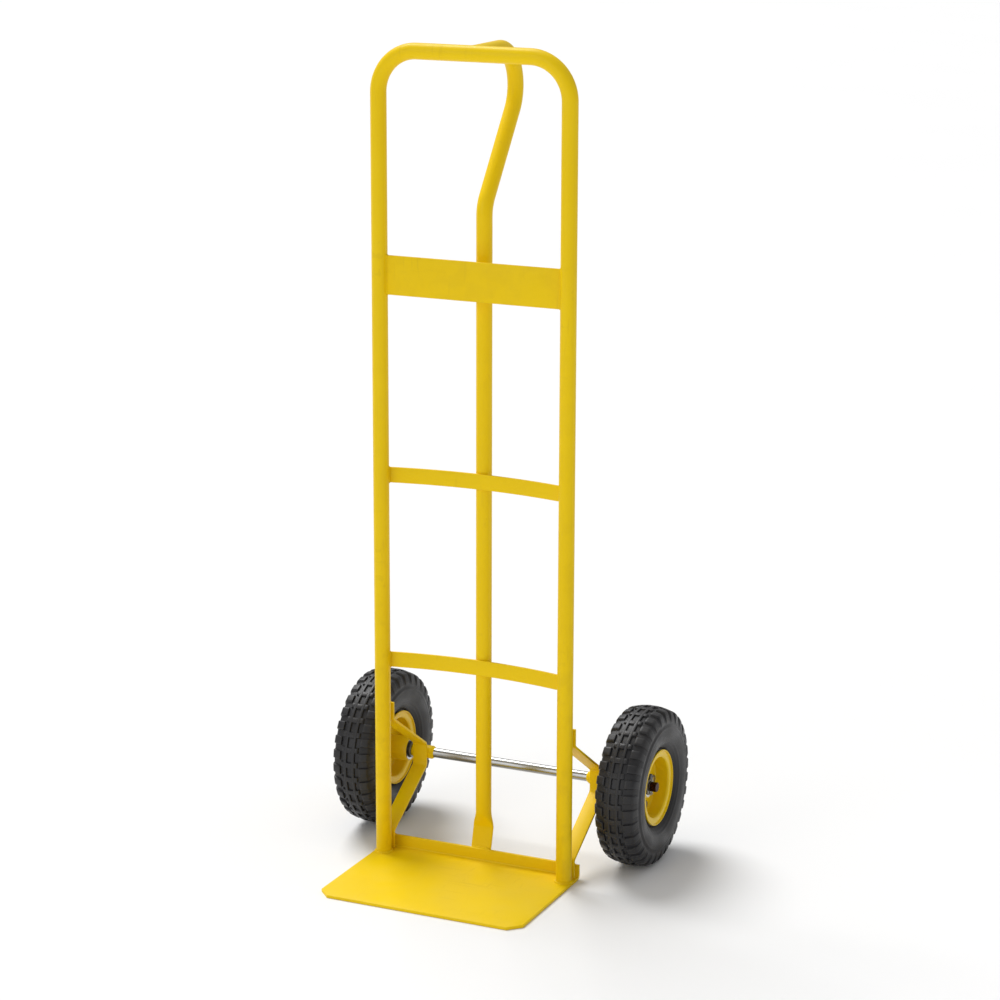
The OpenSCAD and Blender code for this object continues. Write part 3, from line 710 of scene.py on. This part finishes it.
# where the frame's welds start, stop and lie, from the edges that they join
weldAt = {
    "thinRadius": 0.75 * weld["radius"], "ringSteps": 48, "barSteps": 12, "barEndSteps": 4,
    "uprightRise": 0.3 * mm, "uprightOut": 0.5 * mm, "barBack": 1.1 * mm, "barHalf": 1.7 * mm,
    "spineSide": 5.5 * mm, "spineStop": 2 * mm, "spineLift": 0.5 * mm,
    "stripSide": 5.2 * mm, "stripSink": 0.2 * mm, "stripLength": 25 * mm, "stripStop": 1 * mm,
    "lipStop": 1.5 * mm, "lipLift": 0.3 * mm, "bossSide": 5.5 * mm, "bossStop": 1 * mm,
    "bossLift": 0.6 * mm, "bossRadius": 2.6 * mm, "collarCut": 0.3 * mm, "collarSteps": 48,
    "footStop": 2 * mm, "footSide": 0.2 * mm, "footLift": 0.3 * mm, "footLow": 5 * mm,
    "saddleSteps": 72, "saddleSink": 2.6 * mm, "saddleLift": 0.4 * mm, "saddleBulge": 1.4 * mm}
# paint and weld drawn out over the inner end of a boss: place from that end, height over the axle
bossCollar = [(0.2 * mm, 0.1 * mm), (0.2 * mm, 2.4 * mm), (-1.2 * mm, 1.5 * mm), (-3.6 * mm, 0.3 * mm),
              (-3.6 * mm, 0.1 * mm)]


def circlePath(centre, radius, axis, count=weldAt["ringSteps"]):
    first = axis.orthogonal().normalized()
    second = axis.cross(first)
    return [centre + first * a + second * b for a, b in circleSection(radius, count)]


# round the end of a flat bar where it meets an upright: the tube's surface bounds it
def barEndBead(side, yBack, yFront, zLow, zHigh):
    corners = [(yFront, zLow, weldAt["barSteps"]), (yFront, zHigh, weldAt["barEndSteps"]),
               (yBack, zHigh, weldAt["barSteps"]), (yBack, zLow, weldAt["barEndSteps"])]
    path = []
    for i, (fromY, fromZ, count) in enumerate(corners):
        toY, toZ = corners[(i + 1) % len(corners)][:2]
        for k in range(count):
            y = fromY + (toY - fromY) * k / count
            z = fromZ + (toZ - fromZ) * k / count
            x = side * (railX - math.sqrt(tubeR ** 2 - (y - railY) ** 2))
            path.append((x, y, z))
    return beadShape(path, weldAt["thinRadius"], closed=True)


# round the foot of each upright, on the toe plate
def uprightBeads():
    feet = [Vector((side * railX, railY, railLow.z + weldAt["uprightRise"])) for side in sides.values()]
    return [beadShape(circlePath(foot, tubeR + weldAt["uprightOut"], zAxis), closed=True) for foot in feet]


# round both ends of the wide plate
def plateBeads():
    low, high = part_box("top_plate")
    return [barEndBead(side, high.y, low.y, low.z, high.z) for side in sides.values()]


# round the ends of the bowed bars, and up each side of the handle tube behind them
def barBeads():
    beads = []
    endY = railY + plates["barEndBack"] + weldAt["barBack"]
    for side in sides.values():
        for barName in ("upper", "lower"):
            low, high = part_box(barName + "_crossbar")
            beads.append(barEndBead(side, endY + weldAt["barHalf"], endY - weldAt["barHalf"], low.z, high.z))
            x, y = side * weldAt["spineSide"], high.y + weldAt["spineLift"]
            beads.append(beadShape([(x, y, low.z + weldAt["spineStop"]),
                                    (x, y, high.z - weldAt["spineStop"])]))
    return beads


# beside the top of each bent strip, and where its foot meets the toe plate's lip
def stripBeads():
    low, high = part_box("right_axle_bracket")
    y = railY + tubeR - weldAt["stripSink"]
    lipY = toeHigh.y - plates["toeThickness"] + weldAt["lipLift"]
    lipZ = toeHigh.z + weldAt["lipLift"]
    beads = []
    for side in sides.values():
        for edge in (-1, 1):
            x = side * railX + edge * weldAt["stripSide"]
            beads.append(beadShape([(x, y, high.z - weldAt["stripLength"]),
                                    (x, y, high.z - weldAt["stripStop"])]))
        beads.append(beadShape([(side * (low.x + weldAt["lipStop"]), lipY, lipZ),
                                (side * (high.x - weldAt["lipStop"]), lipY, lipZ)]))
    return beads


# over and under each boss where it leaves the strip, with a collar at its inner end
def bossBeads():
    low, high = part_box("right_axle_bracket")
    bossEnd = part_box("right_axle_boss")[0].x
    collar = softened([(bossEnd + x, axleR + r) for x, r in bossCollar], weldAt["collarCut"])
    y = high.y + weldAt["bossLift"]
    beads = []
    for side in sides.values():
        for edge in (-1, 1):
            z = axleAt.z + edge * weldAt["bossSide"]
            beads.append(beadShape([(side * (low.x + weldAt["bossStop"]), y, z),
                                    (side * (high.x - weldAt["bossStop"]), y, z)], weldAt["bossRadius"]))
        beads.append(turnedShape(collar, axleAt, side, weldAt["collarSteps"]))
    return beads


# along the lip's top and beside the handle's foot, and a saddle where the hook meets the grip bar
def handleBeads():
    half = handle["footWidth"] / 2
    end = half - weldAt["footStop"]
    beads = [beadShape([(-end, toeHigh.y, toeHigh.z), (end, toeHigh.y, toeHigh.z)])]
    y = toeHigh.y + weldAt["footLift"]
    for edge in (-1, 1):
        x = edge * (half + weldAt["footSide"])
        beads.append(beadShape([(x, y, weldAt["footLow"]), (x, y, toeHigh.z - weldAt["footStop"])]))
    saddle = []
    for k in range(weldAt["saddleSteps"]):
        a = fullTurn * (k + 0.5) / weldAt["saddleSteps"]
        steep = math.sin(a) ** 4
        sunk = tubeR - weldAt["saddleSink"] * steep
        back = tubeR * abs(math.cos(a)) + weldAt["saddleLift"] + weldAt["saddleBulge"] * steep
        saddle.append((sunk * math.cos(a), railY + back, gripZ + sunk * math.sin(a)))
    return beads + [beadShape(saddle, closed=True)]


beadSets = {"uprightWelds": uprightBeads(), "barWelds": barBeads(), "plateWelds": plateBeads(),
            "stripWelds": stripBeads(), "bossWelds": bossBeads(), "handleWelds": handleBeads()}
for beadSet, beads in beadSets.items():
    addPiece(beadSet, joinShapes(beads), "frame", "yellow_frame", sharpAngle=weld["sharpAngle"])
print("welds made")

# wheels: rims, hubs and fasteners
rim = {"sheet": 2 * mm, "seatRadius": 50.8 * mm, "flangeRadius": 62 * mm, "halfWidth": 27 * mm,
       "lipLength": 3 * mm, "discBend": 5 * mm, "flangeBend": 3 * mm, "lipBend": 1.8 * mm, "bendStep": 10,
       "lipRound": 0.55, "steps": 120, "weldRadius": 1.9 * mm, "weldAlong": 0.2 * mm, "weldOut": 0.4 * mm,
       "weldSteps": 72}
bolt = {"count": 4, "circle": 33 * mm, "radius": 4 * mm, "steps": 32, "acrossFlats": 13 * mm,
        "headHeight": 5.3 * mm, "nutHeight": 6.5 * mm, "nutGap": 0.1 * mm, "tail": 1.9 * mm,
        "washerRadius": 8 * mm, "washerThickness": 0.9 * mm, "washerCut": 0.2 * mm, "washerSteps": 40,
        "footCut": 0.4 * mm, "footRound": 1.04, "topCut": 0.9 * mm, "topRound": 0.97, "stepsPerFlat": 4,
        "threadPitch": 1.25 * mm, "threadDepth": 0.55 * mm, "crestShare": 0.45, "sharpAngle": 24}
bearing = {"outerRadius": 17.5 * mm, "width": 11 * mm, "shoulder": 2.5 * mm}
hubLow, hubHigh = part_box("right_hub")
hubR = (hubHigh.z - hubLow.z) / 2
hubInner, hubOuter = hubLow.x - wheelCentre["right"].x, hubHigh.x - wheelCentre["right"].x


# one pressed half of the rim, from the hub to its rolled lip; way is 1 for the outer half, -1 for the inner
def rimProfile(way):
    t = rim["sheet"]
    line = [(hubR, t / 2), (rim["seatRadius"] - t / 2, t / 2),
            (rim["seatRadius"] - t / 2, rim["halfWidth"] - t / 2),
            (rim["flangeRadius"] - t / 2, rim["halfWidth"] - t / 2),
            (rim["flangeRadius"] - t / 2, rim["halfWidth"] - t / 2 + rim["lipLength"])]
    stations = roundedPath([Vector((0, r, x)) for r, x in line],
                           [rim["discBend"], rim["flangeBend"], rim["lipBend"]], rim["bendStep"])
    sheet = sheetOutline(stations, xAxis, t)
    last = len(stations)
    tip = (sheet[last - 1] + sheet[last]) / 2 + zAxis * rim["lipRound"] * t / 2
    sheet.insert(last, tip)
    return [(way * p.z, p.y) for p in sheet]


# a hexagonal head or nut from near to far, with its corners cut off at both faces
def hexShape(centre, out, near, far):
    flat, point = bolt["acrossFlats"] / 2, bolt["acrossFlats"] / math.sqrt(3)
    corners = [Vector(pair) for pair in circleSection(point, 6)]
    rings = []
    for x, limit in ((near, flat * bolt["footRound"]), (near + bolt["footCut"], point),
                     (far - bolt["topCut"], point), (far, flat * bolt["topRound"])):
        ring = []
        for corner, following in zip(corners, corners[1:] + corners[:1]):
            for part in range(bolt["stepsPerFlat"]):
                spot = corner.lerp(following, part / bolt["stepsPerFlat"])
                spot *= min(1, limit / spot.length)
                ring.append(centre + Vector((out * x, spot.x, spot.y)))
        rings.append(ring)
    return ringShape(rings)


# a bolt's shank with its thread cut as a run of ridges
def threadProfile(near, far):
    crest = bolt["radius"]
    root = crest - bolt["threadDepth"]
    profile = [(near, root), (near + turned["fineChamfer"], crest)]
    x = near + bolt["threadPitch"]
    while x < far:
        profile += [(x - bolt["crestShare"] * bolt["threadPitch"], crest), (x, root)]
        x += bolt["threadPitch"]
    return profile + [(far, root)]


def addFasteners(sideName, side, centre, body):
    t = rim["sheet"]
    seat = t + bolt["washerThickness"]
    nutFace = -t - bolt["nutHeight"]
    washer = softened([(t, bolt["radius"]), (t, bolt["washerRadius"]), (seat, bolt["washerRadius"]),
                       (seat, bolt["radius"])], bolt["washerCut"])
    shank = threadProfile(nutFace - bolt["tail"], t)
    bolts, nuts = [], []
    for k in range(bolt["count"]):
        a = fullTurn * k / bolt["count"]
        place = centre + Vector((0, math.sin(a), -math.cos(a))) * bolt["circle"]
        bolts.append(turnedShape(washer, place, side, bolt["washerSteps"]))
        bolts.append(hexShape(place, side, seat, t + bolt["headHeight"]))
        bolts.append(turnedShape(shank, place, side, bolt["steps"], closed=False))
        nuts.append(hexShape(place, -side, t + bolt["nutGap"], -nutFace))
    addPiece(sideName + "RimBolts", joinShapes(bolts), body, "zinc_steel", [sideName + "_rim_bolts"],
             sharpAngle=bolt["sharpAngle"])
    addPiece(sideName + "RimNuts", joinShapes(nuts), body, "zinc_steel", [sideName + "_rim_nuts"],
             sharpAngle=bolt["sharpAngle"])


def addRims(sideName, side, centre, body):
    for way, pieceName, nodeName in ((1, "OuterRim", "_outer_rim"), (-1, "InnerRim", "_inner_rim")):
        shape = turnedShape(rimProfile(way), centre, side, rim["steps"])
        addPiece(sideName + pieceName, shape, body, "yellow_rim", [sideName + nodeName])
    seat = bearing["outerRadius"]
    bore = seat - bearing["shoulder"]
    inner, outer = hubInner + bearing["width"], hubOuter - bearing["width"]
    outline = [(hubInner, seat), (hubInner, hubR), (hubOuter, hubR), (hubOuter, seat),
               (outer, seat), (outer, bore), (inner, bore), (inner, seat)]
    barrel = turnedShape(softened(outline, turned["chamfer"]), centre, side)
    addPiece(sideName + "HubBarrel", barrel, body, "yellow_rim", [sideName + "_hub"])
    beads = []
    for way in (-1, 1):
        place = centre + xAxis * (side * way * (rim["sheet"] + rim["weldAlong"]))
        path = circlePath(place, hubR + rim["weldOut"], xAxis, rim["weldSteps"])
        beads.append(beadShape(path, rim["weldRadius"], closed=True))
    addPiece(sideName + "HubWelds", joinShapes(beads), body, "yellow_rim", sharpAngle=weld["sharpAngle"])


# the stem's line is in pairs (out from the axle, along it), and collar and cap in (place, share of radius)
valve = {"stemRadius": 4 * mm, "stemSides": 28, "along": 11 * mm, "bendAt": 38 * mm, "bend": 6 * mm,
         "line": ((58.8 * mm, 11 * mm), (38 * mm, 11 * mm), (38 * mm, 22 * mm)), "bendStep": 8,
         "angle": 45, "collarRadius": 6.4 * mm,
         "collarRings": ((0.1 * mm, 1.0), (2.2 * mm, 1.0), (2.9 * mm, 0.84)),
         "capRadius": 4.8 * mm, "capStart": 18 * mm, "capRidges": 20, "ridgeSteps": 4, "capGroove": 0.94,
         "capRings": ((0, 0.93), (0.5 * mm, 1.0), (6.8 * mm, 1.0), (7.6 * mm, 0.90), (8 * mm, 0.72))}


# bent stem through the rim with a hexagonal collar, and a ribbed cap
def addValve(sideName, side, centre, body):
    a = math.radians(valve["angle"])
    outDir = Vector((0, -math.sin(a), math.cos(a)))
    axis = xAxis * side
    across = outDir.cross(axis)
    line = [centre + outDir * r + axis * x for r, x in valve["line"]]
    stations = roundedPath(line, [valve["bend"]], valve["bendStep"])
    sections = [circleSection(valve["stemRadius"], valve["stemSides"])] * len(stations)
    stem = sweepShape(stations, sections, across)
    collar = []
    for drop, size in valve["collarRings"]:
        place = centre + outDir * (rim["seatRadius"] - rim["sheet"] - drop) + axis * valve["along"]
        hexagon = circleSection(valve["collarRadius"] * size, 6)
        collar.append([place + axis * p + across * q for p, q in hexagon])
    addPiece(sideName + "ValveStem", joinShapes([stem, ringShape(collar)]), body, "valve_brass",
             [sideName + "_valve_stem"])
    rings = []
    steps = valve["ridgeSteps"]
    for x, size in valve["capRings"]:
        place = centre + outDir * valve["bendAt"] + axis * (valve["capStart"] + x)
        ring = []
        for k, (p, q) in enumerate(circleSection(valve["capRadius"] * size, valve["capRidges"] * steps)):
            ridge = 1 if k % steps < steps / 2 else valve["capGroove"]
            ring.append(place + (outDir * p + across * q) * ridge)
        rings.append(ring)
    addPiece(sideName + "ValveCap", ringShape(rings), body, "cap_plastic", [sideName + "_valve_cap"])


tyre = {
    "lugs": 32, "crownRadius": 90 * mm, "topRadius": 129.98 * mm, "bandHalf": 30 * mm, "casing": 38 * mm,
    "casingAt": 92 * mm, "centreDepth": 2.8 * mm, "edgeDepth": 4.0 * mm, "skew": 0.12, "beadOut": 24.5 * mm,
    "beadIn": 15.5 * mm, "beadBevel": 2 * mm, "beadRound": 0.5 * mm, "flangeClear": 62.5 * mm,
    "flangeRise": 0.3 * mm, "flangeDrop": 1 * mm, "seat": 50.85 * mm, "cavity": 31 * mm, "cavityAt": 88 * mm,
    "cavitySteps": 8, "wallTrim": 0.5 * mm, "wallSteps": 30, "ringSteps": (4, 5, 19, 20, 23),
    "ringRise": 0.5 * mm, "sharpAngle": 40}

# one pitch of the tread: share of the pitch, then how high its rungs and shoulder lugs stand there
pitchPlan = [
    (0.000, 0.9, 0), (0.020, 1, 0), (0.160, 1, 0), (0.300, 1, 0), (0.320, 0.9, 0), (0.355, 0, 0),
    (0.400, 0, 0.9), (0.420, 0, 1), (0.550, 0, 1), (0.680, 0, 1), (0.810, 0, 1), (0.910, 0, 1),
    (0.930, 0, 0.9), (0.965, 0, 0)]
pitchColumn = {"rung": 1, "shoulder": 2}  # ribs and grooves run on all round
# distance from the middle in millimetres, the row of the tread there and its share of height
acrossPlan = [
    (0.0, "rung", 1), (2.4, "rung", 1), (4.2, "rung", 1), (4.8, "rib", 0.92), (5.3, "rib", 1),
    (7.0, "rib", 1), (8.7, "rib", 1), (9.2, "rib", 0.92), (9.8, "rung", 1), (12.0, "rung", 1),
    (14.0, "rung", 1), (14.5, "rung", 0.9), (15.2, "groove", 0), (16.7, "groove", 0),
    (17.4, "shoulder", 0.9), (17.9, "shoulder", 1), (20.5, "shoulder", 1), (23.0, "shoulder", 1),
    (25.5, "shoulder", 1), (28.0, "shoulder", 1), (29.6, "shoulder", 1)]
# shoulder faces in millimetres: outward and radial place of the lugs, then of the rubber between them
shoulderPlan = [
    ((31.2, 123.6), (30.5, 120.0)), ((32.6, 121.4), (31.7, 118.4)), ((33.8, 118.4), (32.8, 116.0)),
    ((34.8, 114.8), (33.9, 113.0)), ((35.6, 111.0), (34.9, 110.0)), ((36.0, 107.8), (35.5, 107.0))]


# half of the tread and shoulder: each place's high point, low point, row and share of height
def treadStations():
    found = []
    for across, row, share in acrossPlan:
        x = across * mm
        top = tyre["topRadius"] - tyre["crownRadius"] + math.sqrt(tyre["crownRadius"] ** 2 - x ** 2)
        depth = tyre["centreDepth"] + (tyre["edgeDepth"] - tyre["centreDepth"]) * (x / tyre["bandHalf"]) ** 2
        found.append(((x, top), (x, top - depth), row, share))
    for high, low in shoulderPlan:
        found.append(((high[0] * mm, high[1] * mm), (low[0] * mm, low[1] * mm), "shoulder", 1))
    return found


# sidewall from under the lugs to the bead, then the bead and half of the cavity
def wallStations():
    t = tyre
    lowX, lowR = shoulderPlan[-1][1]
    startAngle = math.atan2(lowR * mm - t["casingAt"], lowX * mm)
    endAngle = -math.acos((t["beadOut"] - t["wallTrim"]) / t["casing"])
    found = []
    for k in range(1, t["wallSteps"]):
        a = startAngle + (endAngle - startAngle) * k / t["wallSteps"]
        mouldedRing = t["ringRise"] if k in t["ringSteps"] else 0
        r = t["casing"] - t["wallTrim"] + mouldedRing
        found.append((r * math.cos(a), t["casingAt"] + r * math.sin(a)))
    found += [(t["beadOut"] - t["wallTrim"], t["flangeClear"] + t["flangeRise"]),
              (t["beadOut"], t["flangeClear"] - t["flangeDrop"]), (t["beadOut"], t["seat"] + t["beadBevel"]),
              (t["beadOut"] - t["beadBevel"], t["seat"]), (t["beadIn"] + t["beadRound"], t["seat"]),
              (t["beadIn"], t["seat"] + t["beadRound"])]
    cavityStart = math.asin(t["beadIn"] / t["cavity"])
    for k in range(t["cavitySteps"]):
        a = cavityStart + (math.pi - cavityStart) * k / t["cavitySteps"]
        found.append((t["cavity"] * math.sin(a), t["cavityAt"] - t["cavity"] * math.cos(a)))
    return found


# the whole section, turned round the axle with each lug's own height; the skew grows towards the shoulders
def makeTyre(centre, side):
    half = treadStations() + [(p, p, None, 0) for p in wallStations()]
    mirrored = [((-h[0], h[1]), (-l[0], l[1]), row, share) for h, l, row, share in reversed(half[1:])]
    crown = (0.0, tyre["cavityAt"] + tyre["cavity"])
    line = mirrored + half + [(crown, crown, None, 0)]
    rings = []
    for lug in range(tyre["lugs"]):
        for step in pitchPlan:
            ring = []
            for high, low, row, share in line:
                rise = share * step[pitchColumn[row]] if row in pitchColumn else share
                x = low[0] + (high[0] - low[0]) * rise
                r = low[1] + (high[1] - low[1]) * rise
                skew = tyre["skew"] * min(1, abs(high[0]) / tyre["bandHalf"]) if row else tyre["skew"]
                turn = fullTurn * (lug + step[0] + skew) / tyre["lugs"]
                ring.append(centre + xAxis * (side * x) + Vector((0, math.sin(turn), math.cos(turn))) * r)
            rings.append(ring)
    return ringShape(rings, closed=True)


for sideName, side in sides.items():
    centre = wheelCentre[sideName]
    body = sideName + "_wheel"
    addPiece(sideName + "Tyre", makeTyre(centre, side), body, "tyre_rubber", [sideName + "_tyre"],
             sharpAngle=tyre["sharpAngle"])
    addRims(sideName, side, centre, body)
    addFasteners(sideName, side, centre, body)
    addValve(sideName, side, centre, body)
print("wheels made")

# floor, light and camera
studio = {"floorSize": 60, "floorColour": (0.84, 0.84, 0.84), "palerBy": 1.01, "floorRough": 0.7,
          "floorGrain": {"Grain Scale": 60, "Tone Scale": 1.5}, "worldColour": (1.0, 1.0, 1.0),
          "worldStrength": 0.5, "backdropStrength": 1}
floorMaterial = bpy.data.materials.new("paleFloor")
floorMaterial.use_nodes = True
floorTree = floorMaterial.node_tree
floorShader = floorTree.nodes["Principled BSDF"]
floorTone = placeEffect(floorTree, "grain", studio["floorGrain"]).outputs["Tone"]
paler = tuple(c * studio["palerBy"] for c in studio["floorColour"])
floorColour = blendColour(floorTree, floorTone, studio["floorColour"], paler)
floorTree.links.new(floorColour, floorShader.inputs["Base Color"])
floorShader.inputs["Roughness"].default_value = studio["floorRough"]
floorMesh = bpy.data.meshes.new("studioFloor")
reach = studio["floorSize"] / 2
floorCorners = [(-reach, -reach, 0), (reach, -reach, 0), (reach, reach, 0), (-reach, reach, 0)]
floorMesh.from_pydata(floorCorners, [], [(0, 1, 2, 3)])
floorMesh.materials.append(floorMaterial)
studioFloor = bpy.data.objects.new("studioFloor", floorMesh)
bpy.context.scene.collection.objects.link(studioFloor)

world = bpy.data.worlds.new("studioWorld")
world.use_nodes = True
worldTree = world.node_tree
background = worldTree.nodes["Background"]
background.inputs["Color"].default_value = (*studio["worldColour"], 1)
seen = worldTree.nodes.new("ShaderNodeLightPath").outputs["Is Camera Ray"]  # the backdrop itself shows white
strength = remapNode(worldTree, seen, 0, 1, studio["worldStrength"], studio["backdropStrength"])
worldTree.links.new(strength, background.inputs["Strength"])
bpy.context.scene.world = world
bpy.context.scene.view_settings.view_transform = "Standard"

# a wide soft light from the back left that throws the shadow, and a weak one from the front
lamps = {
    "keyLight": {"from": (-0.86, 0.5), "elevation": 55, "spread": 34, "strength": 2.5},
    "frontLight": {"from": (-0.35, -0.93), "elevation": 18, "spread": 40, "strength": 0.5},
}
for lampName, lamp in lamps.items():
    data = bpy.data.lights.new(lampName, "SUN")
    data.energy = lamp["strength"]
    data.angle = math.radians(lamp["spread"])
    lampObject = bpy.data.objects.new(lampName, data)
    rise = math.radians(lamp["elevation"])
    level = Vector((*lamp["from"], 0)).normalized() * math.cos(rise)
    lampObject.rotation_euler = (-level - zAxis * math.sin(rise)).to_track_quat("-Z", "Y").to_euler()
    bpy.context.scene.collection.objects.link(lampObject)

view = {"azimuth": 24.582, "elevation": 14.373, "roll": 0.158, "distance": 4.52706, "lens": 104.73,
        "sensor": 36, "target": (0.046916, railY, 0.619667)}


def addCamera():
    az, el, roll = (math.radians(view[k]) for k in ("azimuth", "elevation", "roll"))
    back = Vector((math.sin(az) * math.cos(el), -math.cos(az) * math.cos(el), math.sin(el)))
    right = Vector((math.cos(az), math.sin(az), 0))
    up = back.cross(right)
    cameraX = right * math.cos(roll) + up * math.sin(roll)
    cameraY = up * math.cos(roll) - right * math.sin(roll)
    data = bpy.data.cameras.new("studioCamera")
    data.lens, data.sensor_width = view["lens"], view["sensor"]
    camera = bpy.data.objects.new("studioCamera", data)
    place = Vector(view["target"]) + back * view["distance"]
    matrix = camera.matrix_world.copy()
    for column, axis in enumerate((cameraX, cameraY, back, place)):
        for row in range(3):
            matrix[row][column] = axis[row]
    camera.matrix_world = matrix
    bpy.context.scene.collection.objects.link(camera)
    bpy.context.scene.camera = camera


addCamera()
print("studio made")
